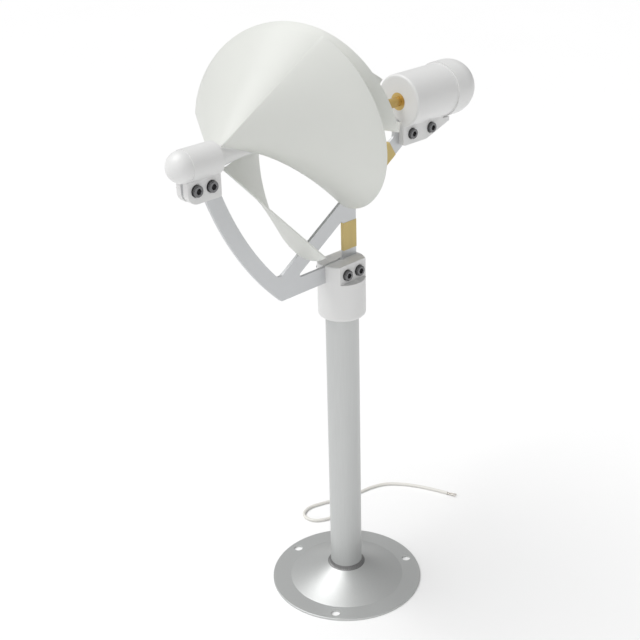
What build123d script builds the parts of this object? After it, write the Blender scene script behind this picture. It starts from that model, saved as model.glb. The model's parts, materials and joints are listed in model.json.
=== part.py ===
"""Small three-blade spiral wind turbine on a floor-flanged pole.

Frame: origin at the centre of the flange's underside, +Z up. The rotor shaft runs along Y with the
nose at -Y and the generator at +Y, and the flat yoke plate that carries both lies in the YZ plane.
All sizes are in millimetres.
"""
from build123d import *
import os
from math import cos, pi, radians, sin, tan

os.makedirs("parts", exist_ok=True)

# ---- Pole and flange ----
POLE_R = 21.2
POLE_WALL = 2.0
POLE_BOTTOM = 8.0
POLE_TOP = 448.0
FLANGE_R = 102.3
FLANGE_SHEET = 3.0
RIM_ROUND = 1.0
CONE_FOOT_R = 77.5
CONE_MID = (49.0, 13.4)
NECK_R = 25.5
NECK_Z = 23.6
BOLT_CIRCLE_R = 90.0
BOLT_HOLE_R = 6.0
BOLT_HOLES = 3
FIRST_BOLT_ANGLE = 64.5
BEAD_TOP = 28.5

# ---- Yaw head ----
COLLAR_R = 30.2
COLLAR_BOTTOM = 402.0
COLLAR_TOP = 476.0
COLLAR_BORE_R = 24.0
COLLAR_BORE_TOP = 450.3
COLLAR_FACE_X = 20.0
COLLAR_FACE_BOTTOM = 452.0
GROOVE_Z = 425.0
GROOVE_WIDTH = 6.0
GROOVE_DEPTH = 0.8
BUSH_LOWER = (404.0, 414.0)
BUSH_UPPER = (435.0, 446.0)
RUNNING_GAP = 0.05
THRUST_GAP = 0.3
GRUB_ANGLES = (100.0, 170.0)
GRUB_R = 2.5
GRUB_TIP_R = 1.5
GRUB_SOCKET_R = 1.4
GRUB_SOCKET_DEPTH = 2.0
GRUB_SUNK = 0.5
SLIP_RING_R = 11.0
SLIP_RING_BOTTOM = 396.0
PLUG_BOTTOM = 430.0
SLIP_SHAFT_R = 4.0
SLIP_RING_FLOOR = 10.0

# ---- Yoke plate, as (along the shaft, height) points ----
PLATE_T = 4.0
SLOT_GAP = 0.05
BAR_BOTTOM = 453.5
BAR_TOP = 474.5
CORNER = (-104.0, BAR_BOTTOM)
NOTCH = (-106.0, 483.0)
ARM_OUTER_MID = (-167.0, 527.5)
ARM_OUTER_TOP = (-209.0, 610.0)
ARM_INNER_MID = (-147.0, 534.0)
ARM_INNER_TOP = (-186.0, 608.0)
NOSE_TAB = (-236.5, 613.0, -192.5, 634.0)
STRUT_LEFT = 3.0
STRUT_RIGHT = 25.0
STRAIGHT_SLOPE = 0.632
REAR_TAB_FRONT = 95.0
REAR_TAB_BACK = 186.0
REAR_TAB_BOTTOM = 598.5
REAR_TAB_STEP = 116.0
REAR_TAB_TOP = 616.3
REAR_TAB_PEAK = 629.0

# ---- Amber tape on the strut (heights) and on the diagonal arm (places along the shaft) ----
TAPE_T = 0.35
STRUT_TAPE = (486.0, 522.0)
ARM_TAPE = (64.0, 92.0)

# ---- Shaft, nose and generator, along Y ----
SHAFT_Z = 652.0
SHAFT_R = 6.0
SLEEVE_R = 8.0
SHAFT_FRONT = -217.0
SLEEVE_FRONT = -188.6
SLEEVE_REAR = 76.0
SHAFT_REAR = 202.0
NOSE_R = 18.7
NOSE_REAR = -191.0
NOSE_FRONT = -234.0
NOSE_CAP_R = 18.0
NOSE_CAP_CENTRE = -236.0
NOSE_BORE_R = 14.0
NOSE_SEAT = -204.0
NOSE_SEAL_R = 9.0
CAP_WALL = 3.0
BEARING_W = 8.0
RACE_OUTER_R = 11.6
RACE_INNER_R = 8.4
BALL_PITCH_R = 10.0
BALL_R = 1.3
BALLS = 9
LUG_HALF = 9.5
LUG_RIM = 1.5
GEN_FACE = 104.0
GEN_LUG_TURN = 148.0
GEN_LUG_BACK = 192.0
GEN_R = 33.4
GEN_BORE_R = 30.0
GEN_WALL_BACK = 118.0
GEN_JOINT = 180.0
GEN_SPIGOT_R = 31.0
GEN_SPIGOT_END = 186.0
GEN_CAP_R = 35.2
GEN_CAP_WALL = 3.0
GEN_CAP_BORE_R = 31.05
GEN_DOME_START = 198.0
GEN_DOME_LENGTH = 34.0
BUSH_R = 11.0
BUSH_LENGTH = 12.0
REAR_PLATE = (186.5, 198.0)
REAR_BEARING_INSET = 2.0
STATOR = (130.0, 160.0)
STATOR_BORE_R = 24.0
MAGNET_R = 23.0
MAGNET_SEAT_R = 20.0
MAGNETS = 8
COIL_LENGTH = 6.0
COIL_GAP = 0.5

# ---- M8 fasteners ----
SCREW_R = 3.95
SCREW_HOLE_R = 4.2
HEAD_R = 6.5
HEAD_H = 8.0
SOCKET_R = 3.45
SOCKET_DEPTH = 4.0
COUNTERBORE_R = 7.2
COUNTERBORE_DEPTH = 3.5
NUT_H = 6.5
NUT_R = 7.5
THREAD_PROUD = 2.0
COLLAR_SCREWS = ((-10.5, 463.0), (10.5, 463.0))
NOSE_SCREWS = ((-226.0, 625.0), (-205.0, 625.0))
GEN_SCREWS = ((120.0, 610.0), (156.0, 610.0))

# ---- Hubs and shaft clip ----
HUB_LENGTH = 36.0
HUB_R = 12.6
HUB_EDGE = 0.6
REAR_HUB = (60.0, 74.0)
REAR_HUB_R = 12.0
REAR_HUB_CHAMFER = 1.5
CLIP_T = 1.2
CLIP_R = 7.8

# ---- Rotor blades: each blade turns TURN degrees about the shaft from its leading edge ----
BLADE_T = 2.0
BLADES = 3
LEADING_ANGLE = 59.4
TURN = 208.0
RIM_RADIUS = (144.6, 157.0, 65.7, 138.9, 32.6)
RIM_ALONG = (-96.7, -72.4, 4.3, -59.8, 76.8)
ROOT_RADIUS = (14.0, 8.1, 8.1, 8.1, 8.1)
ROOT_ALONG = (-187.5, -141.6, -146.3, -130.7, 47.4)
BLADE_STATIONS = 24
BLADE_RULING_POINTS = 5

# ---- Floor cable: its route from the strain relief to the end of its jacket ----
CABLE_R = 2.3
EXIT_Z = 46.0
EXIT_ANGLE = 135.0
GROMMET_TIP = 38.0
GROMMET_FLANGE_R = 7.0
GROMMET_FLANGE_T = 2.5
GROMMET_NECK_R = 5.2
GROMMET_TIP_R = 3.2
GROMMET_REACH_IN = 1.0
POLE_DIP = 1.5
CABLE_ROUTE = [
    (-37.5, 37.5, EXIT_Z), (-47.0, 50.0, 38.5), (-60.0, 69.0, 24.0), (-74.0, 85.5, 9.5),
    (-89.0, 97.5, CABLE_R), (-107.5, 92.0, CABLE_R), (-111.0, 73.0, CABLE_R),
    (-124.0, 54.5, CABLE_R), (-145.5, 55.0, CABLE_R), (-154.0, 74.5, CABLE_R),
    (-147.0, 97.0, CABLE_R), (-137.0, 122.0, CABLE_R), (-126.5, 150.0, CABLE_R),
    (-123.0, 180.0, CABLE_R), (-113.0, 205.0, CABLE_R), (-90.0, 224.0, CABLE_R),
    (-58.0, 240.0, CABLE_R), (-25.0, 250.0, CABLE_R),
]
ARC_SHARE = 0.45
WIRE_R = 0.8
WIRE_LENGTH = 14.0
WIRE_SPREAD = (-5.0, 7.0)
CORE_GAP = 0.15

SHAFT_AXIS = Axis((0, 0, SHAFT_Z), (0, 1, 0))
SHAFT_PLANE = Plane((0, 0, SHAFT_Z), x_dir=(0, 1, 0), z_dir=(1, 0, 0))
EXIT_DIRECTION = Vector(cos(radians(EXIT_ANGLE)), sin(radians(EXIT_ANGLE)), 0)
EXIT_PLANE = Plane((0, 0, EXIT_Z), x_dir=(0, 0, 1), z_dir=EXIT_DIRECTION)


def save(piece, name):
    """Label a finished piece and write it as its own STEP file."""
    piece.part.label = name
    export_step(piece.part, f"parts/{name}.step")


def shaft_section(along):
    """The plane square to the shaft at a place along it."""
    return Plane((0, along, SHAFT_Z), x_dir=(-1, 0, 0), z_dir=(0, 1, 0))


def shaft_ring(start, end, inner, outer):
    """A plain ring about the rotor shaft."""
    with BuildPart() as ring:
        with BuildSketch(shaft_section(start)):
            Circle(outer)
            if inner:
                Circle(inner, mode=Mode.SUBTRACT)
        extrude(amount=end - start)
    return ring


def pole_ring(bottom, top, inner, outer):
    """A plain ring about the pole axis."""
    with BuildPart() as ring:
        with BuildSketch(Plane.XY.offset(bottom)):
            Circle(outer)
            Circle(inner, mode=Mode.SUBTRACT)
        extrude(amount=top - bottom)
    return ring


# ======== Base: flange, pole and what is fixed in it ========

with BuildPart() as base_flange:
    with BuildSketch(Plane.XZ):
        with BuildLine():
            Line((FLANGE_R, 0), (FLANGE_R, FLANGE_SHEET - RIM_ROUND))
            rim_middle = RIM_ROUND * (1 - cos(radians(45)))
            ThreePointArc(
                (FLANGE_R, FLANGE_SHEET - RIM_ROUND),
                (FLANGE_R - rim_middle, FLANGE_SHEET - rim_middle),
                (FLANGE_R - RIM_ROUND, FLANGE_SHEET),
            )
            Line((FLANGE_R - RIM_ROUND, FLANGE_SHEET), (CONE_FOOT_R, FLANGE_SHEET))
            ThreePointArc((CONE_FOOT_R, FLANGE_SHEET), CONE_MID, (NECK_R, NECK_Z))
            Line((NECK_R, NECK_Z), (POLE_R, NECK_Z))
            Line((POLE_R, NECK_Z), (POLE_R, NECK_Z - FLANGE_SHEET))
            Line((POLE_R, NECK_Z - FLANGE_SHEET), (NECK_R, NECK_Z - FLANGE_SHEET))
            ThreePointArc(
                (NECK_R, NECK_Z - FLANGE_SHEET),
                (CONE_MID[0], CONE_MID[1] - FLANGE_SHEET),
                (CONE_FOOT_R, 0),
            )
            Line((CONE_FOOT_R, 0), (FLANGE_R, 0))
        make_face()
    revolve(axis=Axis.Z)
    with BuildSketch(Plane.XY):
        with PolarLocations(BOLT_CIRCLE_R, BOLT_HOLES, start_angle=FIRST_BOLT_ANGLE):
            Circle(BOLT_HOLE_R)
    extrude(amount=FLANGE_SHEET, mode=Mode.SUBTRACT)
save(base_flange, "base_flange")

with BuildPart() as weld_bead:
    with BuildSketch(Plane.XZ):
        with BuildLine():
            Line((POLE_R, NECK_Z), (NECK_R, NECK_Z))
            bead_sag = (NECK_R + POLE_R) / 2 - 0.5, (NECK_Z + BEAD_TOP) / 2 - 0.5
            ThreePointArc((NECK_R, NECK_Z), bead_sag, (POLE_R, BEAD_TOP))
            Line((POLE_R, BEAD_TOP), (POLE_R, NECK_Z))
        make_face()
    revolve(axis=Axis.Z)
save(weld_bead, "weld_bead")

with BuildPart() as pole_tube:
    with BuildSketch(Plane.XY.offset(POLE_BOTTOM)):
        Circle(POLE_R)
        Circle(POLE_R - POLE_WALL, mode=Mode.SUBTRACT)
    extrude(amount=POLE_TOP - POLE_BOTTOM)
    with BuildSketch(Plane.XY.offset(GROOVE_Z - GROOVE_WIDTH / 2)):
        Circle(POLE_R)
        Circle(POLE_R - GROOVE_DEPTH, mode=Mode.SUBTRACT)
    extrude(amount=GROOVE_WIDTH, mode=Mode.SUBTRACT)
    with BuildSketch(EXIT_PLANE):
        Circle(2 * CABLE_R)
    extrude(amount=POLE_R + POLE_WALL, mode=Mode.SUBTRACT)
save(pole_tube, "pole_tube")

with BuildPart() as pole_plug:
    with BuildSketch(Plane.XY.offset(PLUG_BOTTOM)):
        Circle(POLE_R - POLE_WALL)
        Circle(SLIP_SHAFT_R + 1, mode=Mode.SUBTRACT)
    extrude(amount=POLE_TOP - PLUG_BOTTOM)
    chamfer(pole_plug.edges().group_by(Axis.Z)[0].sort_by(SortBy.RADIUS)[-1], length=1)
save(pole_plug, "pole_plug")

with BuildPart() as slip_ring_case:
    with BuildSketch(Plane.XY.offset(SLIP_RING_BOTTOM)):
        Circle(SLIP_RING_R)
    extrude(amount=PLUG_BOTTOM - SLIP_RING_BOTTOM)
    with BuildSketch(Plane.XY.offset(SLIP_RING_BOTTOM + SLIP_RING_FLOOR)):
        Circle(SLIP_SHAFT_R + RUNNING_GAP)
    extrude(amount=PLUG_BOTTOM, mode=Mode.SUBTRACT)
save(slip_ring_case, "slip_ring_case")

# The strain relief stands square to the pole wall and tapers along the cable.
with BuildPart() as cable_grommet:
    with BuildSketch(EXIT_PLANE.offset(POLE_R - POLE_DIP)):
        Circle(GROMMET_FLANGE_R)
    extrude(amount=POLE_DIP + GROMMET_FLANGE_T)
    with BuildSketch(EXIT_PLANE.offset(POLE_R + GROMMET_FLANGE_T)):
        Circle(GROMMET_NECK_R)
    with BuildSketch(EXIT_PLANE.offset(GROMMET_TIP)):
        Circle(GROMMET_TIP_R)
    loft()
    with BuildSketch(Plane.XY.offset(EXIT_Z - 2 * GROMMET_FLANGE_R)):
        Circle(POLE_R)
    extrude(amount=4 * GROMMET_FLANGE_R, mode=Mode.SUBTRACT)
    with BuildSketch(EXIT_PLANE.offset(POLE_R - POLE_WALL - GROMMET_REACH_IN)):
        Circle(2 * CABLE_R - SLOT_GAP)
    extrude(amount=POLE_WALL + 2 * GROMMET_REACH_IN)
save(cable_grommet, "cable_grommet")

inner_cable_end = EXIT_DIRECTION * (POLE_R - POLE_WALL - GROMMET_REACH_IN)
with BuildPart() as mast_cable:
    with BuildLine():
        mast_route = FilletPolyline(
            (0, 0, SLIP_RING_BOTTOM),
            (0, 0, EXIT_Z),
            (inner_cable_end.X, inner_cable_end.Y, EXIT_Z),
            radius=3 * CABLE_R,
        )
    with BuildSketch(Plane(mast_route @ 0, z_dir=mast_route % 0)):
        Circle(CABLE_R)
    sweep()
save(mast_cable, "mast_cable")


def fillet_radii(points):
    """For each corner of a route, the largest arc that leaves most of its two runs straight."""
    radii = []
    for before, corner, after in zip(points, points[1:], points[2:]):
        run_in = Vector(*corner) - Vector(*before)
        run_out = Vector(*after) - Vector(*corner)
        turn = radians(run_in.get_angle(run_out))
        radii.append(ARC_SHARE * min(run_in.length, run_out.length) / tan(turn / 2))
    return radii


cable_exit = EXIT_DIRECTION * GROMMET_TIP
cable_points = [(cable_exit.X, cable_exit.Y, EXIT_Z)] + CABLE_ROUTE
cable_radii = fillet_radii(cable_points)
print("cable bend radii in diameters:", [round(radius / (2 * CABLE_R), 1) for radius in cable_radii])
with BuildPart() as floor_cable:
    with BuildLine():
        cable_line = FilletPolyline(*cable_points, radius=cable_radii)
    with BuildSketch(Plane(cable_line @ 0, z_dir=cable_line % 0)):
        Circle(CABLE_R)
    sweep()
expected_volume = pi * CABLE_R**2 * cable_line.length
print("cable length:", round(cable_line.length, 1))
print("cable volume over section times length:", round(floor_cable.part.volume / expected_volume, 4))
save(floor_cable, "floor_cable")

# Two bare cores stand out of the end of the jacket, side by side and then slightly apart.
jacket_end = Vector(*CABLE_ROUTE[-1])
jacket_direction = (jacket_end - Vector(*CABLE_ROUTE[-2])).normalized()
side = Vector(-jacket_direction.Y, jacket_direction.X, 0)
with BuildPart() as cable_cores:
    for offset, angle in zip((-1.1, 1.1), WIRE_SPREAD):
        core_start = jacket_end + side * offset + jacket_direction * CORE_GAP
        core_plane = Plane(core_start, z_dir=jacket_direction.rotate(Axis.Z, angle))
        with BuildSketch(core_plane):
            Circle(WIRE_R)
        extrude(amount=WIRE_LENGTH)
save(cable_cores, "cable_cores")

# ======== Head: collar and yaw bearing ========


def screw_holes(centres, seat_x):
    """Cut clearance holes with counterbores that open toward +X; seat_x is where the heads sit."""
    with BuildSketch(Plane.YZ) as holes:
        with Locations(*centres):
            Circle(SCREW_HOLE_R)
    extrude(holes.sketch, amount=2 * COLLAR_R, both=True, mode=Mode.SUBTRACT)
    with BuildSketch(Plane.YZ.offset(seat_x)) as counterbores:
        with Locations(*centres):
            Circle(COUNTERBORE_R)
    extrude(counterbores.sketch, amount=2 * COLLAR_R, mode=Mode.SUBTRACT)


with BuildPart() as yaw_collar:
    with BuildSketch(Plane.XY.offset(COLLAR_BOTTOM)):
        Circle(COLLAR_R)
    extrude(amount=COLLAR_TOP - COLLAR_BOTTOM)
    fillet(yaw_collar.edges().sort_by(Axis.Z)[0], radius=5)
    fillet(yaw_collar.edges().sort_by(Axis.Z)[-1], radius=2)
    with BuildSketch(Plane.XY.offset(COLLAR_FACE_BOTTOM)):
        with Locations((COLLAR_FACE_X + COLLAR_R / 2, 0), (-COLLAR_FACE_X - COLLAR_R / 2, 0)):
            Rectangle(COLLAR_R, 2 * COLLAR_R)
    extrude(amount=COLLAR_TOP, mode=Mode.SUBTRACT)
    with BuildSketch(Plane.XY.offset(COLLAR_BOTTOM)):
        Circle(COLLAR_BORE_R)
    extrude(amount=COLLAR_BORE_TOP - COLLAR_BOTTOM, mode=Mode.SUBTRACT)
    with BuildSketch(Plane.XY.offset(COLLAR_BORE_TOP)):
        Circle(SLIP_SHAFT_R + 0.1)
    extrude(amount=COLLAR_TOP, mode=Mode.SUBTRACT)
    slot_front, slot_back = -COLLAR_R - 1, STRUT_RIGHT + SLOT_GAP
    with BuildSketch(Plane.XY.offset(BAR_BOTTOM - SLOT_GAP)):
        with Locations((0, (slot_front + slot_back) / 2)):
            Rectangle(PLATE_T + 2 * SLOT_GAP, slot_back - slot_front)
    extrude(amount=COLLAR_TOP, mode=Mode.SUBTRACT)
    screw_holes(COLLAR_SCREWS, COLLAR_FACE_X - COUNTERBORE_DEPTH)
    for angle in GRUB_ANGLES:
        outward = Vector(cos(radians(angle)), sin(radians(angle)), 0)
        with BuildSketch(Plane((0, 0, GROOVE_Z), x_dir=(0, 0, 1), z_dir=outward)):
            Circle(GRUB_R)
        extrude(amount=2 * COLLAR_R, mode=Mode.SUBTRACT)
save(yaw_collar, "yaw_collar")

for name, (bottom, top) in {"yaw_bush_lower": BUSH_LOWER, "yaw_bush_upper": BUSH_UPPER}.items():
    save(pole_ring(bottom, top, POLE_R + RUNNING_GAP, COLLAR_BORE_R), name)

thrust_bottom = POLE_TOP + THRUST_GAP
save(pole_ring(thrust_bottom, COLLAR_BORE_TOP, SLIP_SHAFT_R + 1.5, COLLAR_BORE_R - 1), "thrust_washer")

with BuildPart() as slip_ring_shaft:
    with BuildSketch(Plane.XY.offset(SLIP_RING_BOTTOM + SLIP_RING_FLOOR + 1)):
        Circle(SLIP_SHAFT_R)
    extrude(amount=BAR_BOTTOM - 0.1 - SLIP_RING_BOTTOM - SLIP_RING_FLOOR - 1)
save(slip_ring_shaft, "slip_ring_shaft")

# Grub screws in the back of the collar run in the pole's groove and keep the head from lifting off.
grub_tip_r = POLE_R - GROOVE_DEPTH + THRUST_GAP + 0.1
grub_body_start = COLLAR_BORE_R - 1.5
with BuildPart() as retaining_screws:
    for angle in GRUB_ANGLES:
        outward = Vector(cos(radians(angle)), sin(radians(angle)), 0)
        grub_plane = Plane((0, 0, GROOVE_Z), x_dir=(0, 0, 1), z_dir=outward)
        with BuildSketch(grub_plane.offset(grub_tip_r)):
            Circle(GRUB_TIP_R)
        extrude(amount=grub_body_start - grub_tip_r)
        with BuildSketch(grub_plane.offset(grub_body_start)):
            Circle(GRUB_R)
        extrude(amount=COLLAR_R - GRUB_SUNK - grub_body_start)
        with BuildSketch(grub_plane.offset(COLLAR_R - GRUB_SUNK - GRUB_SOCKET_DEPTH)):
            RegularPolygon(GRUB_SOCKET_R, 6)
        extrude(amount=GRUB_SOCKET_DEPTH, mode=Mode.SUBTRACT)
save(retaining_screws, "retaining_screws")

# ======== Head: yoke plate ========


def nearest_vertex(sketch, point):
    """The sketch vertex closest to a point given as (along the shaft, height)."""
    return min(sketch.vertices(), key=lambda corner: (corner.X - point[0]) ** 2 + (corner.Y - point[1]) ** 2)


def upper_edge(along):
    """Height of the diagonal arm's upper edge."""
    return NOTCH[1] + STRAIGHT_SLOPE * (along - NOTCH[0])


arm_drop = (BAR_TOP - BAR_BOTTOM) * (1 + STRAIGHT_SLOPE**2) ** 0.5


def lower_edge(along):
    """Height of the diagonal arm's lower edge, one bar's width below the upper one."""
    return upper_edge(along) - arm_drop


tab_front, tab_bottom, tab_back, tab_top = NOSE_TAB
strut_meets_arm = (STRUT_RIGHT, lower_edge(STRUT_RIGHT))
gap_corner = (NOTCH[0] + (BAR_TOP + arm_drop - NOTCH[1]) / STRAIGHT_SLOPE, BAR_TOP)
rear_tab_lower = (NOTCH[0] + (REAR_TAB_BOTTOM + arm_drop - NOTCH[1]) / STRAIGHT_SLOPE, REAR_TAB_BOTTOM)
with BuildPart() as yoke_plate:
    with BuildSketch(Plane.YZ) as yoke_outline:
        with BuildLine():
            ThreePointArc(CORNER, ARM_OUTER_MID, ARM_OUTER_TOP)
            Polyline(
                ARM_OUTER_TOP,
                (tab_front, tab_bottom + 6),
                (tab_front, tab_top),
                (tab_back, tab_top),
                (tab_back, tab_bottom),
                ARM_INNER_TOP,
            )
            ThreePointArc(ARM_INNER_TOP, ARM_INNER_MID, NOTCH)
            Polyline(
                NOTCH,
                (REAR_TAB_FRONT, upper_edge(REAR_TAB_FRONT)),
                (REAR_TAB_FRONT, REAR_TAB_PEAK),
                (REAR_TAB_STEP, REAR_TAB_PEAK),
                (REAR_TAB_STEP, REAR_TAB_TOP),
                (REAR_TAB_BACK, REAR_TAB_TOP),
                (REAR_TAB_BACK, REAR_TAB_BOTTOM + 8),
                (REAR_TAB_BACK - 20, REAR_TAB_BOTTOM),
                rear_tab_lower,
                strut_meets_arm,
                (STRUT_RIGHT, BAR_BOTTOM),
                CORNER,
            )
        make_face()
        fillet(nearest_vertex(yoke_outline, NOTCH), radius=8)
        fillet(nearest_vertex(yoke_outline, CORNER), radius=4)
        fillet(nearest_vertex(yoke_outline, strut_meets_arm), radius=4)
        fillet(nearest_vertex(yoke_outline, (REAR_TAB_FRONT, upper_edge(REAR_TAB_FRONT))), radius=6)
        fillet(nearest_vertex(yoke_outline, (REAR_TAB_FRONT, REAR_TAB_PEAK)), radius=3)
        with BuildSketch(Plane.YZ, mode=Mode.SUBTRACT) as yoke_gap:
            with BuildLine():
                Polyline(
                    gap_corner,
                    (STRUT_LEFT, BAR_TOP),
                    (STRUT_LEFT, lower_edge(STRUT_LEFT)),
                    close=True,
                )
            make_face()
            fillet(yoke_gap.vertices(), radius=3)
        with Locations(*COLLAR_SCREWS, *NOSE_SCREWS, *GEN_SCREWS):
            Circle(SCREW_HOLE_R, mode=Mode.SUBTRACT)
    extrude(amount=PLATE_T / 2, both=True)
save(yoke_plate, "yoke_plate")



def tape_sleeve(plane, width, length):
    """A thin rectangular sleeve of amber tape around a bar of the plate, along the plane's normal."""
    with BuildPart() as sleeve:
        with BuildSketch(plane):
            Rectangle(PLATE_T + 2 * TAPE_T, width + 2 * TAPE_T)
            Rectangle(PLATE_T + 2 * SLOT_GAP, width + 2 * SLOT_GAP, mode=Mode.SUBTRACT)
        extrude(amount=length)
    return sleeve


strut_middle = (STRUT_LEFT + STRUT_RIGHT) / 2
strut_plane = Plane((0, strut_middle, STRUT_TAPE[0]), x_dir=(1, 0, 0), z_dir=(0, 0, 1))
save(tape_sleeve(strut_plane, STRUT_RIGHT - STRUT_LEFT, STRUT_TAPE[1] - STRUT_TAPE[0]), "strut_tape")

arm_direction = Vector(0, 1, STRAIGHT_SLOPE).normalized()
arm_start = (0, ARM_TAPE[0], upper_edge(ARM_TAPE[0]) - arm_drop / 2)
arm_plane = Plane(arm_start, x_dir=(1, 0, 0), z_dir=arm_direction)
arm_tape_length = (ARM_TAPE[1] - ARM_TAPE[0]) / arm_direction.Y
save(tape_sleeve(arm_plane, BAR_TOP - BAR_BOTTOM, arm_tape_length), "arm_tape")

# ======== Head: fasteners ========


def socket_screws(centres, seat_x, end_x):
    """M8 socket cap screws along X, heads toward +X."""
    with BuildPart() as screws:
        with BuildSketch(Plane.YZ.offset(end_x)):
            with Locations(*centres):
                Circle(SCREW_R)
        extrude(amount=seat_x - end_x)
        with BuildSketch(Plane.YZ.offset(seat_x)):
            with Locations(*centres):
                Circle(HEAD_R)
        extrude(amount=HEAD_H)
        head_rims = screws.faces().filter_by(Axis.X).group_by(Axis.X)[-1].edges()
        chamfer(head_rims, length=0.7)
        with BuildSketch(Plane.YZ.offset(seat_x + HEAD_H - SOCKET_DEPTH)):
            with Locations(*centres):
                RegularPolygon(SOCKET_R, 6)
        extrude(amount=SOCKET_DEPTH, mode=Mode.SUBTRACT)
    return screws


def hex_nuts(centres, face_x):
    """M8 nuts on the -X side, against a face at face_x."""
    with BuildPart() as nuts:
        with BuildSketch(Plane.YZ.offset(face_x - NUT_H)):
            with Locations(*centres):
                RegularPolygon(NUT_R, 6)
                Circle(SCREW_R, mode=Mode.SUBTRACT)
        extrude(amount=NUT_H)
    return nuts


for group, centres, half in (
    ("collar", COLLAR_SCREWS, COLLAR_FACE_X),
    ("nose", NOSE_SCREWS, LUG_HALF),
    ("generator", GEN_SCREWS, LUG_HALF),
):
    seat = half - COUNTERBORE_DEPTH
    save(socket_screws(centres, seat, -half - NUT_H - THREAD_PROUD), f"{group}_screws")
    save(hex_nuts(centres, -half), f"{group}_nuts")

# ======== Head: nose housing ========

nose_seal_start = NOSE_REAR - 7
slot_width = PLATE_T + 2 * SLOT_GAP
with BuildPart() as nose_housing:
    with BuildSketch(shaft_section(NOSE_FRONT)):
        Circle(NOSE_R)
    extrude(amount=NOSE_REAR - NOSE_FRONT)
    fillet(nose_housing.edges().sort_by(Axis.Y)[-1], radius=2.5)
    with BuildSketch(Plane.YZ) as nose_lug:
        with BuildLine():
            Polyline(
                (tab_front - 1.5, SHAFT_Z - NOSE_R / 2),
                (tab_front - 1.5, tab_bottom - 3),
                (NOSE_REAR - 0.5, tab_bottom - 3),
                (NOSE_REAR - 0.5, SHAFT_Z - NOSE_R / 2),
                close=True,
            )
        make_face()
        fillet(nearest_vertex(nose_lug, (tab_front, tab_bottom - 3)), radius=13)
        fillet(nearest_vertex(nose_lug, (NOSE_REAR, tab_bottom - 3)), radius=3)
    extrude(amount=LUG_HALF, both=True)
    with BuildSketch(shaft_section(NOSE_FRONT - 2 * NOSE_R)):
        Circle(NOSE_CAP_R + 0.1)
    extrude(amount=2 * NOSE_R, mode=Mode.SUBTRACT)
    with BuildSketch(shaft_section(NOSE_FRONT)):
        Circle(NOSE_BORE_R)
    extrude(amount=NOSE_SEAT - NOSE_FRONT, mode=Mode.SUBTRACT)
    with BuildSketch(shaft_section(NOSE_FRONT)):
        Circle(NOSE_SEAL_R)
    extrude(amount=NOSE_REAR - NOSE_FRONT + 1, mode=Mode.SUBTRACT)
    with BuildSketch(Plane.YZ):
        with Locations(((tab_front + NOSE_REAR) / 2, tab_top - 20 + SLOT_GAP)):
            Rectangle(NOSE_REAR - tab_front + 20, 40)
    extrude(amount=slot_width / 2, both=True, mode=Mode.SUBTRACT)
    screw_holes(NOSE_SCREWS, LUG_HALF - COUNTERBORE_DEPTH)
save(nose_housing, "nose_housing")

with BuildPart() as nose_cap:
    with BuildSketch(SHAFT_PLANE):
        with BuildLine():
            cap_tip = NOSE_CAP_CENTRE - NOSE_CAP_R
            inner_r = NOSE_CAP_R - CAP_WALL
            spigot_end = NOSE_FRONT + 5
            spigot_inner_r = NOSE_BORE_R - 2.5
            Line((NOSE_FRONT, NOSE_CAP_R), (NOSE_CAP_CENTRE, NOSE_CAP_R))
            CenterArc((NOSE_CAP_CENTRE, 0), NOSE_CAP_R, 90, 90)
            Line((cap_tip, 0), (cap_tip + CAP_WALL, 0))
            CenterArc((NOSE_CAP_CENTRE, 0), inner_r, 90, 90)
            Polyline(
                (NOSE_CAP_CENTRE, inner_r),
                (NOSE_CAP_CENTRE, spigot_inner_r),
                (spigot_end, spigot_inner_r),
                (spigot_end, NOSE_BORE_R - 0.05),
                (NOSE_FRONT, NOSE_BORE_R - 0.05),
                (NOSE_FRONT, NOSE_CAP_R),
            )
        make_face()
    revolve(axis=SHAFT_AXIS)
save(nose_cap, "nose_cap")

save(shaft_ring(nose_seal_start, NOSE_REAR - 1, SHAFT_R + 0.08, NOSE_SEAL_R), "shaft_seal")

# ======== Ball bearings: the outer race and balls stay in the head, the inner race turns ========


def ball_cage(start):
    """Balls joined by a thin cage, with clearance to both races."""
    with BuildPart() as cage:
        with BuildSketch(shaft_section(start + 2)):
            Circle(BALL_PITCH_R + 0.6)
            Circle(BALL_PITCH_R - 0.6, mode=Mode.SUBTRACT)
        extrude(amount=BEARING_W - 4)
        with Locations(shaft_section(start + BEARING_W / 2)):
            with PolarLocations(BALL_PITCH_R, BALLS):
                Sphere(BALL_R)
    return cage


for name, start in {"front": NOSE_SEAT - BEARING_W, "rear": REAR_PLATE[0] + REAR_BEARING_INSET}.items():
    end = start + BEARING_W
    save(shaft_ring(start, end, RACE_OUTER_R, NOSE_BORE_R), f"{name}_bearing_outer")
    save(ball_cage(start), f"{name}_bearing_balls")
    save(shaft_ring(start, end, SHAFT_R, RACE_INNER_R), f"{name}_bearing_inner")

# ======== Head: generator ========

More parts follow.
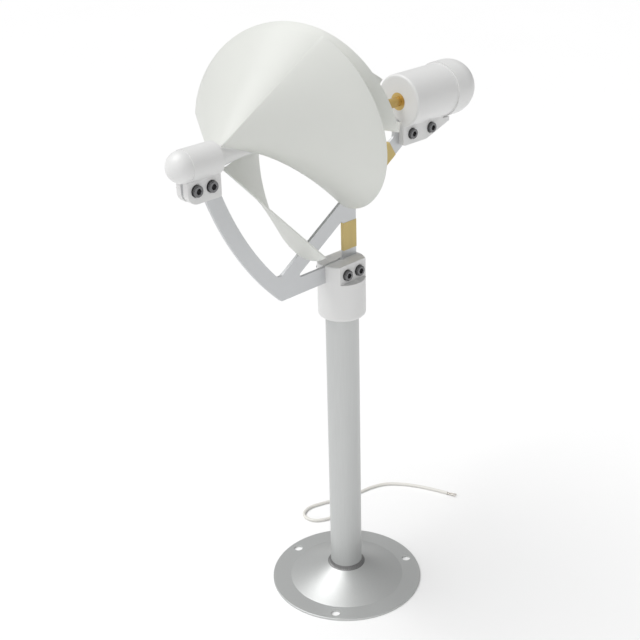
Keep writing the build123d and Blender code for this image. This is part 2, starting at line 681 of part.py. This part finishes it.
with BuildPart() as generator_housing:
    with BuildSketch(shaft_section(GEN_FACE)):
        Circle(GEN_R)
    extrude(amount=GEN_JOINT - GEN_FACE)
    fillet(generator_housing.edges().sort_by(Axis.Y)[0], radius=3)
    with BuildSketch(shaft_section(GEN_JOINT)):
        Circle(GEN_SPIGOT_R)
    extrude(amount=GEN_SPIGOT_END - GEN_JOINT)
    with BuildSketch(Plane.YZ) as generator_lug:
        with BuildLine():
            lug_top = SHAFT_Z - GEN_CAP_R - 0.3
            Polyline(
                (GEN_FACE, SHAFT_Z - GEN_R / 2),
                (GEN_FACE, REAR_TAB_BOTTOM - LUG_RIM),
                (GEN_LUG_TURN, REAR_TAB_BOTTOM - LUG_RIM),
                (GEN_LUG_BACK, lug_top - 5),
                (GEN_LUG_BACK, lug_top),
                (GEN_JOINT, lug_top),
                (GEN_JOINT, SHAFT_Z - GEN_R / 2),
                close=True,
            )
        make_face()
        fillet(nearest_vertex(generator_lug, (GEN_FACE, REAR_TAB_BOTTOM - LUG_RIM)), radius=3)
        fillet(nearest_vertex(generator_lug, (GEN_LUG_TURN, REAR_TAB_BOTTOM - LUG_RIM)), radius=12)
    extrude(amount=LUG_HALF, both=True)
    with BuildSketch(shaft_section(GEN_WALL_BACK)):
        Circle(GEN_BORE_R)
    extrude(amount=GEN_SPIGOT_END, mode=Mode.SUBTRACT)
    with BuildSketch(shaft_section(GEN_FACE)):
        Circle(BUSH_R)
    extrude(amount=GEN_SPIGOT_END, mode=Mode.SUBTRACT)
    with BuildSketch(Plane.YZ):
        with Locations(((GEN_FACE + REAR_TAB_BACK) / 2, REAR_TAB_TOP - 20 + SLOT_GAP)):
            Rectangle(REAR_TAB_BACK - GEN_FACE + 20, 40)
        with Locations(((GEN_FACE + REAR_TAB_STEP) / 2, REAR_TAB_PEAK - 20 + SLOT_GAP)):
            Rectangle(REAR_TAB_STEP - GEN_FACE + 2 * SLOT_GAP, 40)
    extrude(amount=slot_width / 2, both=True, mode=Mode.SUBTRACT)
    screw_holes(GEN_SCREWS, LUG_HALF - COUNTERBORE_DEPTH)
save(generator_housing, "generator_housing")

with BuildPart() as generator_cap:
    with BuildSketch(SHAFT_PLANE):
        with BuildLine():
            dome_tip = GEN_DOME_START + GEN_DOME_LENGTH
            inner_length = GEN_DOME_LENGTH - GEN_CAP_WALL
            Line((GEN_JOINT, GEN_CAP_R), (GEN_DOME_START, GEN_CAP_R))
            EllipticalCenterArc((GEN_DOME_START, 0), GEN_DOME_LENGTH, GEN_CAP_R, start_angle=0, arc_size=90)
            Line((dome_tip, 0), (dome_tip - GEN_CAP_WALL, 0))
            EllipticalCenterArc((GEN_DOME_START, 0), inner_length, GEN_CAP_BORE_R, start_angle=0, arc_size=90)
            Polyline(
                (GEN_DOME_START, GEN_CAP_BORE_R),
                (GEN_JOINT, GEN_CAP_BORE_R),
                (GEN_JOINT, GEN_CAP_R),
            )
        make_face()
    revolve(axis=SHAFT_AXIS)
save(generator_cap, "generator_cap")

save(shaft_ring(GEN_FACE, GEN_FACE + BUSH_LENGTH, SHAFT_R + RUNNING_GAP, BUSH_R), "brass_bush")
save(shaft_ring(*REAR_PLATE, NOSE_BORE_R, GEN_CAP_BORE_R - 0.05), "bearing_plate")
save(shaft_ring(*STATOR, STATOR_BORE_R, GEN_BORE_R), "stator_core")
with BuildPart() as stator_coils:
    for start in (STATOR[0] - COIL_LENGTH, STATOR[1]):
        with BuildSketch(shaft_section(start)):
            Circle(GEN_BORE_R - COIL_GAP)
            Circle(STATOR_BORE_R + COIL_GAP, mode=Mode.SUBTRACT)
        extrude(amount=COIL_LENGTH)
save(stator_coils, "stator_coils")

# ======== Rotor ========

with BuildPart() as rotor_shaft:
    with BuildSketch(shaft_section(SHAFT_FRONT)):
        Circle(SHAFT_R)
    extrude(amount=SHAFT_REAR - SHAFT_FRONT)
    shaft_ends = rotor_shaft.faces().filter_by(Axis.Y).sort_by(Axis.Y)
    chamfer(shaft_ends[0].edges() + shaft_ends[-1].edges(), length=1)
save(rotor_shaft, "rotor_shaft")

save(shaft_ring(SLEEVE_FRONT, SLEEVE_REAR, SHAFT_R, SLEEVE_R), "shaft_sleeve")

clip_back = NOSE_SEAT - BEARING_W
save(shaft_ring(clip_back - CLIP_T, clip_back, SHAFT_R, CLIP_R), "shaft_clip")

with BuildPart() as front_hub:
    with BuildSketch(shaft_section(SLEEVE_FRONT)):
        Circle(HUB_R)
        Circle(SLEEVE_R, mode=Mode.SUBTRACT)
    extrude(amount=HUB_EDGE)
    with BuildSketch(SHAFT_PLANE):
        with BuildLine():
            hub_start = SLEEVE_FRONT + HUB_EDGE
            Polyline(
                (hub_start, SLEEVE_R),
                (hub_start, HUB_R),
                (hub_start + HUB_LENGTH, SLEEVE_R),
                close=True,
            )
        make_face()
    revolve(axis=SHAFT_AXIS)
save(front_hub, "front_hub")

with BuildPart() as rear_hub:
    with BuildSketch(shaft_section(REAR_HUB[0])):
        Circle(REAR_HUB_R)
        Circle(SLEEVE_R, mode=Mode.SUBTRACT)
    extrude(amount=REAR_HUB[1] - REAR_HUB[0])
    chamfer(rear_hub.edges().filter_by(GeomType.CIRCLE).sort_by(SortBy.RADIUS)[-2:], length=REAR_HUB_CHAMFER)
save(rear_hub, "rear_hub")


def bernstein(values, t):
    """Value at t of the smooth curve drawn by a row of control values."""
    while len(values) > 1:
        values = [a + (b - a) * t for a, b in zip(values, values[1:])]
    return values[0]


def blade_point(t, reach, leading_angle):
    """A point of the blade's middle surface: t runs round the shaft, reach from root to rim."""
    radius = bernstein(ROOT_RADIUS, t) * (1 - reach) + bernstein(RIM_RADIUS, t) * reach
    along = bernstein(ROOT_ALONG, t) * (1 - reach) + bernstein(RIM_ALONG, t) * reach
    angle = radians(leading_angle - TURN * t)
    return (radius * cos(angle), along, SHAFT_Z + radius * sin(angle))


for number in range(BLADES):
    leading_angle = LEADING_ANGLE + number * 360 / BLADES
    surface_points = [
        [
            blade_point(station / BLADE_STATIONS, step / (BLADE_RULING_POINTS - 1), leading_angle)
            for step in range(BLADE_RULING_POINTS)
        ]
        for station in range(BLADE_STATIONS + 1)
    ]
    with BuildPart() as blade:
        thicken(Face.make_surface_from_array_of_points(surface_points), amount=BLADE_T / 2, both=True)
    save(blade, f"blade_{number + 1}")

with BuildPart() as magnet_core:
    with BuildSketch(shaft_section(STATOR[0])):
        Circle(MAGNET_SEAT_R)
        Circle(SHAFT_R, mode=Mode.SUBTRACT)
    extrude(amount=STATOR[1] - STATOR[0])
save(magnet_core, "magnet_core")

magnet_arc = 0.8 * 360 / MAGNETS
with BuildPart() as rotor_magnets:
    with BuildSketch(shaft_section(STATOR[0])):
        for number in range(MAGNETS):
            first_angle = number * 360 / MAGNETS
            with BuildLine():
                outer_arc = CenterArc((0, 0), MAGNET_R, first_angle, magnet_arc)
                inner_arc = CenterArc((0, 0), MAGNET_SEAT_R, first_angle, magnet_arc)
                Line(outer_arc @ 0, inner_arc @ 0)
                Line(outer_arc @ 1, inner_arc @ 1)
            make_face()
    extrude(amount=STATOR[1] - STATOR[0])
save(rotor_magnets, "rotor_magnets")
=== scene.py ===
"""Looks for the small spiral wind turbine.

Smooth blades, a soft floor cable, socket screws and a weld bead replace their plain CAD nodes. Every
other visible piece is the CAD node itself with a procedural finish. Lengths are in metres.
"""
import json
from math import cos, pi, radians, sin

import bpy
from mathutils import Matrix, Vector


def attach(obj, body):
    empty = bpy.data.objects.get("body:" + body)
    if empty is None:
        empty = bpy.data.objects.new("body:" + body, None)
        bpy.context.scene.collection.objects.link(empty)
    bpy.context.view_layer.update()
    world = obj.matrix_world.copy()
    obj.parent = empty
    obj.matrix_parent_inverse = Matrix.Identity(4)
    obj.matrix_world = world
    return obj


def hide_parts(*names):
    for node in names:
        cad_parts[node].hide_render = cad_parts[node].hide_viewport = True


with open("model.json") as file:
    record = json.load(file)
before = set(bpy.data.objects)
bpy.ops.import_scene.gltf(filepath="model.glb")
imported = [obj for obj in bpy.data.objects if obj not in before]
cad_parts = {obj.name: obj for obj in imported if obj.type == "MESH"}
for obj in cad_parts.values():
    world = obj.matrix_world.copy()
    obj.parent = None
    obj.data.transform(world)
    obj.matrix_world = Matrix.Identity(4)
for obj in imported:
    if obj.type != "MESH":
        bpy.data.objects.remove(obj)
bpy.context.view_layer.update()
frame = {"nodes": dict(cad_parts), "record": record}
nodes = frame["nodes"]
scene = bpy.context.scene

# ---- Camera ----
CAMERA_PLACE = (0.97483, -0.99123, 1.04665)
CAMERA_RIGHT = (0.7063934, 0.7074253, -0.0236189)
CAMERA_UP = (-0.2860690, 0.3158555, 0.9046545)
CAMERA_BACKWARD = (0.6474357, -0.6322853, 0.4254907)
SENSOR_WIDTH_MM = 36.0
LENS_MM = 68.46
NEAREST, FARTHEST = 0.05, 50.0

# ---- Cable: from the strain relief to the end of the jacket ----
CABLE_R = 0.0023
CABLE_POINTS = [
    (-0.02687, 0.02687, 0.0460), (-0.0375, 0.0375, 0.0460), (-0.0470, 0.0500, 0.0385),
    (-0.0600, 0.0690, 0.0240), (-0.0740, 0.0855, 0.0095), (-0.0890, 0.0975, CABLE_R),
    (-0.1075, 0.0920, CABLE_R), (-0.1110, 0.0730, CABLE_R), (-0.1240, 0.0545, CABLE_R),
    (-0.1455, 0.0550, CABLE_R), (-0.1540, 0.0745, CABLE_R), (-0.1470, 0.0970, CABLE_R),
    (-0.1370, 0.1220, CABLE_R), (-0.1265, 0.1500, CABLE_R), (-0.1230, 0.1800, CABLE_R),
    (-0.1130, 0.2050, CABLE_R), (-0.0900, 0.2240, CABLE_R), (-0.0580, 0.2400, CABLE_R),
    (-0.0250, 0.2500, CABLE_R),
]

# ---- Blades: each turns TURN degrees about the shaft from its leading edge ----
SHAFT_Z = 0.652
BLADES = 3
BLADE_T = 0.0019
BLADE_EDGE_ROUND = 0.0005
LEADING_ANGLE = 59.4
TURN = 208.0
RIM_RADIUS = (0.1446, 0.1570, 0.0657, 0.1389, 0.0326)
RIM_ALONG = (-0.0967, -0.0724, 0.0043, -0.0598, 0.0768)
ROOT_RADIUS = (0.0140, 0.0081, 0.0081, 0.0081, 0.0081)
ROOT_ALONG = (-0.1875, -0.1416, -0.1463, -0.1307, 0.0474)
STATIONS = 120
RULING_STEPS = 12

# ---- M8 socket cap screws along X, heads toward +X ----
HEAD_R = 0.0065
HEAD_H = 0.008
HEAD_CHAMFER = 0.0007
HEAD_SIDES = 96
KNURL_DEPTH = 0.00018
KNURL_END = 0.0018
KNURL_SHOULDER = 0.0014
SOCKET_R = 0.00345
SOCKET_LEAD_IN = 0.0004
SOCKET_DEPTH = 0.004
THREAD_R = 0.00395
THREAD_DEPTH = 0.0004
THREAD_PITCH = 0.00125
THREAD_TURNS = 3
RINGS_PER_TURN = 8
THREAD_PROUD = 0.002
NUT_H = 0.0065
COUNTERBORE_DEPTH = 0.0035
LUG_HALF = 0.0095
COLLAR_HALF = 0.020
# Each group: name, half thickness of what it clamps, and its centres as (along the shaft, height).
SCREW_GROUPS = (
    ("collar", COLLAR_HALF, ((-0.0105, 0.463), (0.0105, 0.463))),
    ("nose", LUG_HALF, ((-0.226, 0.625), (-0.205, 0.625))),
    ("generator", LUG_HALF, ((0.120, 0.610), (0.156, 0.610))),
)

# ---- Weld bead round the foot of the pole ----
POLE_R = 0.0212
BEAD_FOOT_R = 0.0255
BEAD_LOW = 0.0236
BEAD_HIGH = 0.0285
BEAD_SAG = 0.0009
RIPPLE_HEIGHT = 0.0004
RIPPLES = 54
RIPPLE_LEAN = 0.9
BEAD_TURNS = 648
BEAD_STEPS = 12

# ---- Floor and light ----
FLOOR_HALF = 9
WORLD_STRENGTH = 0.42
# Each light: name, the way it shines, strength, angular size in degrees.
SUNS = (
    ("key", (0.35, 0.35, -1.0), 2.1, 45),
    ("fill", (-0.5, 0.9, -0.6), 0.6, 80),
)

NOISE_DETAIL = 6.0
RELIEF_DISTANCE = 0.0003
SMOOTHEST = 0.05


def place_camera():
    """The camera stands where the reference view is taken from."""
    lens = bpy.data.cameras.new("camera")
    lens.sensor_width = SENSOR_WIDTH_MM
    lens.lens = LENS_MM
    lens.clip_start, lens.clip_end = NEAREST, FARTHEST
    camera = bpy.data.objects.new("camera", lens)
    scene.collection.objects.link(camera)
    facing = Matrix((CAMERA_RIGHT, CAMERA_UP, CAMERA_BACKWARD)).transposed()
    camera.matrix_world = Matrix.Translation(CAMERA_PLACE) @ facing.to_4x4()
    scene.camera = camera
    scene.view_settings.view_transform = "Standard"


def scaled_noise(tree, grain, stretch):
    """A noise in object space; returns the socket that carries its value."""
    place = tree.nodes.new("ShaderNodeTexCoord")
    mapping = tree.nodes.new("ShaderNodeMapping")
    mapping.inputs["Scale"].default_value = stretch
    noise = tree.nodes.new("ShaderNodeTexNoise")
    noise.inputs["Scale"].default_value = grain
    noise.inputs["Detail"].default_value = NOISE_DETAIL
    tree.links.new(place.outputs["Object"], mapping.inputs["Vector"])
    tree.links.new(mapping.outputs["Vector"], noise.inputs["Vector"])
    return noise.outputs["Fac"]


def mapped(tree, value, low, high):
    """The value spread over a range."""
    spread = tree.nodes.new("ShaderNodeMapRange")
    spread.inputs["To Min"].default_value = low
    spread.inputs["To Max"].default_value = high
    tree.links.new(value, spread.inputs["Value"])
    return spread.outputs["Result"]


def finish_material(name, colour, metallic, roughness, grain=60.0, stretch=(1, 1, 1), colour_spread=0.04,
                    roughness_spread=0.06, bump=0.0, translucent=0.0):
    """A procedural finish: a noise in object space varies the colour, the roughness and the relief."""
    material = bpy.data.materials.new(name)
    material.use_nodes = True
    tree = material.node_tree
    shader = tree.nodes["Principled BSDF"]
    shader.inputs["Metallic"].default_value = metallic
    noise = scaled_noise(tree, grain, stretch)
    shade = tree.nodes.new("ShaderNodeVectorMath")
    shade.operation = "SCALE"
    shade.inputs[0].default_value = colour
    tree.links.new(mapped(tree, noise, 1 - colour_spread, 1 + colour_spread), shade.inputs["Scale"])
    tree.links.new(shade.outputs["Vector"], shader.inputs["Base Color"])
    smoothest = max(SMOOTHEST, roughness - roughness_spread)
    roughest = min(1.0, roughness + roughness_spread)
    tree.links.new(mapped(tree, noise, smoothest, roughest), shader.inputs["Roughness"])
    if bump:
        relief = tree.nodes.new("ShaderNodeBump")
        relief.inputs["Strength"].default_value = bump
        relief.inputs["Distance"].default_value = RELIEF_DISTANCE
        tree.links.new(noise, relief.inputs["Height"])
        tree.links.new(relief.outputs["Normal"], shader.inputs["Normal"])
    if translucent:
        glow = tree.nodes.new("ShaderNodeBsdfTranslucent")
        glow.inputs["Color"].default_value = (*colour, 1)
        mix = tree.nodes.new("ShaderNodeMixShader")
        mix.inputs["Fac"].default_value = translucent
        tree.links.new(shader.outputs["BSDF"], mix.inputs[1])
        tree.links.new(glow.outputs["BSDF"], mix.inputs[2])
        tree.links.new(mix.outputs["Shader"], tree.nodes["Material Output"].inputs["Surface"])
    return material


# Each finish: colour, metallic, roughness, grain of the noise, and what differs from the defaults.
FINISH_VALUES = {
    "galvanised_steel": ((0.55, 0.56, 0.555), 0.62, 0.40, 40,
                         dict(stretch=(14, 14, 0.7), colour_spread=0.06, roughness_spread=0.08, bump=0.05)),
    # The weld bead's dark colour is painted shade: it stands for the shadow line round the foot of the
    # pole.
    "weld_painted_shade": ((0.22, 0.22, 0.22), 0.8, 0.42, 400, dict(colour_spread=0.3, bump=0.2)),
    "machined_aluminium": ((0.66, 0.66, 0.67), 1.0, 0.32, 80, dict(stretch=(1, 9, 1))),
    "yoke_aluminium": ((0.60, 0.61, 0.62), 0.75, 0.46, 60, dict(stretch=(1, 1, 5), colour_spread=0.03)),
    "white_housing": ((0.74, 0.74, 0.735), 0.0, 0.36, 260, dict(colour_spread=0.01, bump=0.10)),
    "blade_sheet": ((0.82, 0.83, 0.80), 0.0, 0.38, 30,
                    dict(colour_spread=0.012, bump=0.02, translucent=0.28)),
    "dark_screw": ((0.17, 0.17, 0.175), 1.0, 0.24, 300, dict(colour_spread=0.25)),
    "zinc_fastener": ((0.55, 0.56, 0.55), 1.0, 0.36, 200, {}),
    "bearing_steel": ((0.62, 0.62, 0.62), 1.0, 0.16, 100, dict(stretch=(1, 8, 1))),
    "brass": ((0.62, 0.44, 0.16), 0.9, 0.36, 150, {}),
    # amber_tape is a painted warm reflection: its golden colour stands for light from the blades falling on
    # the aluminium arm in the rotor's shadow.
    "amber_tape": ((0.60, 0.46, 0.17), 0.0, 0.42, 120, dict(stretch=(1, 1, 0.2), colour_spread=0.08)),
    "bush_plastic": ((0.12, 0.12, 0.12), 0.0, 0.50, 120, {}),
    "black_rubber": ((0.03, 0.03, 0.03), 0.0, 0.70, 200, dict(colour_spread=0.2)),
    "cable_jacket": ((0.74, 0.73, 0.69), 0.0, 0.48, 200, dict(colour_spread=0.02, bump=0.05)),
    "bare_copper": ((0.52, 0.49, 0.45), 0.9, 0.34, 300, dict(colour_spread=0.12)),
    "core_steel": ((0.25, 0.25, 0.25), 0.8, 0.45, 150, dict(stretch=(1, 20, 1))),
    "winding_copper": ((0.60, 0.28, 0.12), 0.9, 0.34, 300, dict(stretch=(1, 12, 1), colour_spread=0.15)),
}


def dress(piece, body, slot, *replaced):
    """Give a finished piece its place in the frame and its finish."""
    piece.data.materials.append(FINISHES[slot])
    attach(piece, body)
    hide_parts(*replaced)


def mesh_piece(name, points, faces, smooth=True):
    """A new mesh object from its points and faces."""
    mesh = bpy.data.meshes.new(name)
    mesh.from_pydata(points, [], faces)
    mesh.update()
    for polygon in mesh.polygons:
        polygon.use_smooth = smooth
    piece = bpy.data.objects.new(name, mesh)
    scene.collection.objects.link(piece)
    return piece


def make_floor_cable():
    """One soft curve; its bare cores and its strain relief are CAD nodes."""
    curve = bpy.data.curves.new("floor_cord", "CURVE")
    curve.dimensions = "3D"
    curve.bevel_depth = CABLE_R
    curve.bevel_resolution = 5
    curve.use_fill_caps = True
    curve.resolution_u = 10
    spline = curve.splines.new("NURBS")
    spline.points.add(len(CABLE_POINTS) - 1)
    for control, place in zip(spline.points, CABLE_POINTS):
        control.co = (*place, 1)
    spline.order_u = 3
    spline.use_endpoint_u = True
    floor_cord = bpy.data.objects.new("floor_cord", curve)
    scene.collection.objects.link(floor_cord)
    dress(floor_cord, "base", "cable_jacket", "floor_cable")


def bernstein(values, t):
    """Value at t of the smooth curve drawn by a row of control values."""
    while len(values) > 1:
        values = [a + (b - a) * t for a, b in zip(values, values[1:])]
    return values[0]


def blade_point(t, reach, leading_angle):
    """A point of the blade's middle surface: t runs round the shaft, reach from root to rim."""
    radius = bernstein(ROOT_RADIUS, t) * (1 - reach) + bernstein(RIM_RADIUS, t) * reach
    along = bernstein(ROOT_ALONG, t) * (1 - reach) + bernstein(RIM_ALONG, t) * reach
    angle = radians(leading_angle - TURN * t)
    return (radius * cos(angle), along, SHAFT_Z + radius * sin(angle))


def make_blade(number):
    """A thin curved sheet with softened edges."""
    leading_angle = LEADING_ANGLE + number * 360 / BLADES
    points = [
        blade_point(station / STATIONS, step / RULING_STEPS, leading_angle)
        for station in range(STATIONS + 1) for step in range(RULING_STEPS + 1)
    ]
    row = RULING_STEPS + 1
    faces = [
        (i * row + j, i * row + j + 1, (i + 1) * row + j + 1, (i + 1) * row + j)
        for i in range(STATIONS) for j in range(RULING_STEPS)
    ]
    sheet = mesh_piece(f"blade_sheet_{number + 1}", points, faces)
    wall = sheet.modifiers.new("wall", "SOLIDIFY")
    wall.thickness = BLADE_T
    wall.offset = 0.0
    wall.use_even_offset = True
    edge = sheet.modifiers.new("edge", "BEVEL")
    edge.width = BLADE_EDGE_ROUND
    edge.segments = 2
    edge.limit_method = "ANGLE"
    dress(sheet, "rotor", "blade_sheet", f"blade_{number + 1}")


def hexagon_radius(angle, corner_radius):
    """Distance from the centre to a hexagon's side in one direction."""
    return corner_radius * cos(pi / 6) / cos((angle % (pi / 3)) - pi / 6)


def thread_radius(x, start, angle):
    """Radius of the screw thread's rounded crest and root at a place along X."""
    wave = cos(2 * pi * (x - start) / THREAD_PITCH - angle)
    return THREAD_R - THREAD_DEPTH * (0.5 - 0.5 * wave)


def screw_rings(seat, end):
    """Rings of (x, radius) from the threaded end, over the head, to the floor of the socket."""
    directions = [2 * pi * k / HEAD_SIDES for k in range(HEAD_SIDES)]
    top = seat + HEAD_H
    knurled = [HEAD_R - KNURL_DEPTH * (k % 2) for k in range(HEAD_SIDES)]
    socket = [hexagon_radius(angle, SOCKET_R) for angle in directions]
    plain_r = HEAD_R - KNURL_DEPTH

    def even_ring(x, radius):
        return [(x, radius)] * HEAD_SIDES

    steps = RINGS_PER_TURN * THREAD_TURNS
    rings = []
    for step in range(steps + 1):
        x = end + THREAD_TURNS * THREAD_PITCH * step / steps
        rings.append([(x, thread_radius(x, end, angle)) for angle in directions])
    rings.append(even_ring(seat, THREAD_R))
    rings.append([(seat, radius) for radius in knurled])
    rings.append([(top - KNURL_END, radius) for radius in knurled])
    rings.append(even_ring(top - KNURL_SHOULDER, plain_r))
    rings.append(even_ring(top - HEAD_CHAMFER, plain_r))
    rings.append(even_ring(top, plain_r - HEAD_CHAMFER))
    rings.append([(top, radius + SOCKET_LEAD_IN) for radius in socket])
    rings.append([(top - SOCKET_LEAD_IN, radius) for radius in socket])
    rings.append([(top - SOCKET_DEPTH, radius) for radius in socket])
    return rings


def turned_skin(rings, centre):
    """Points and faces of a closed skin drawn through rings round a line along X."""
    along, height = centre
    sides = len(rings[0])
    points = [
        (x, along + radius * cos(2 * pi * k / sides), height + radius * sin(2 * pi * k / sides))
        for ring in rings for k, (x, radius) in enumerate(ring)
    ]
    faces = []
    for r in range(len(rings) - 1):
        for k in range(sides):
            after = (k + 1) % sides
            faces.append((r * sides + k, r * sides + after, (r + 1) * sides + after, (r + 1) * sides + k))
    faces.append(tuple(reversed(range(sides))))
    faces.append(tuple(range((len(rings) - 1) * sides, len(rings) * sides)))
    return points, faces


def make_screws(group, half, centres):
    """A pair of socket cap screws with knurled heads and threaded ends."""
    rings = screw_rings(half - COUNTERBORE_DEPTH, -half - NUT_H - THREAD_PROUD)
    points, faces = [], []
    for centre in centres:
        screw_points, screw_faces = turned_skin(rings, centre)
        faces += [tuple(corner + len(points) for corner in face) for face in screw_faces]
        points += screw_points
    screws = mesh_piece(f"{group}_socket_screws", points, faces, smooth=False)
    dress(screws, "head", "dark_screw", f"{group}_screws")


def make_weld_bead():
    """Overlapping ripples round the foot of the pole."""
    points = []
    for turn in range(BEAD_TURNS):
        angle = 2 * pi * turn / BEAD_TURNS
        for step in range(BEAD_STEPS + 1):
            share = step / BEAD_STEPS
            ripple = abs(sin(RIPPLES * angle / 2 + RIPPLE_LEAN * share))
            sag = 4 * share * (1 - share) * (RIPPLE_HEIGHT * ripple - BEAD_SAG)
            radius = BEAD_FOOT_R + (POLE_R - BEAD_FOOT_R) * share + sag
            height = BEAD_LOW + (BEAD_HIGH - BEAD_LOW) * share + sag
            points.append((radius * cos(angle), radius * sin(angle), height))
        points.append((POLE_R * cos(angle), POLE_R * sin(angle), BEAD_LOW))
    strip = BEAD_STEPS + 2
    faces = []
    for turn in range(BEAD_TURNS):
        here, there = turn * strip, (turn + 1) % BEAD_TURNS * strip
        for j in range(strip):
            after = (j + 1) % strip
            faces.append((here + j, there + j, there + after, here + after))
    bead = mesh_piece("weld_ripples", points, faces)
    dress(bead, "base", "galvanised_steel", "weld_bead")
    # The darker finish on the bead is painted shade for the shadow line at the foot of the pole.
    bead.data.materials[0] = FINISHES["weld_painted_shade"]


def make_studio():
    """A plain pale floor under an even sky, with a soft key light and a soft fill."""
    side = FLOOR_HALF
    corners = [(-side, -side, 0), (side, -side, 0), (side, side, 0), (-side, side, 0)]
    floor = mesh_piece("floor", corners, [(0, 1, 2, 3)], smooth=False)
    pale = finish_material("floor", (0.93, 0.93, 0.93), 0.0, 0.7, 2, colour_spread=0.002)
    floor.data.materials.append(pale)
    world = bpy.data.worlds.new("studio")
    scene.world = world
    world.use_nodes = True
    sky = world.node_tree.nodes["Background"]
    sky.inputs["Color"].default_value = (1.0, 1.0, 1.0, 1)
    sky.inputs["Strength"].default_value = WORLD_STRENGTH
    for name, direction, strength, spread in SUNS:
        light = bpy.data.lights.new(name, "SUN")
        light.energy = strength
        light.angle = radians(spread)
        lamp = bpy.data.objects.new(name, light)
        lamp.rotation_mode = "QUATERNION"
        lamp.rotation_quaternion = Vector(direction).to_track_quat("-Z", "Y")
        scene.collection.objects.link(lamp)


place_camera()

FINISHES = {
    name: finish_material(name, colour, metallic, roughness, grain, **more)
    for name, (colour, metallic, roughness, grain, more) in FINISH_VALUES.items()
}
for row in frame["record"]["subparts"]:
    node_materials = nodes[row["node"]].data.materials
    node_materials.clear()
    node_materials.append(FINISHES[row["material_slot"]])

make_floor_cable()
for number in range(BLADES):
    make_blade(number)
for group, half, centres in SCREW_GROUPS:
    make_screws(group, half, centres)
make_weld_bead()
make_studio()
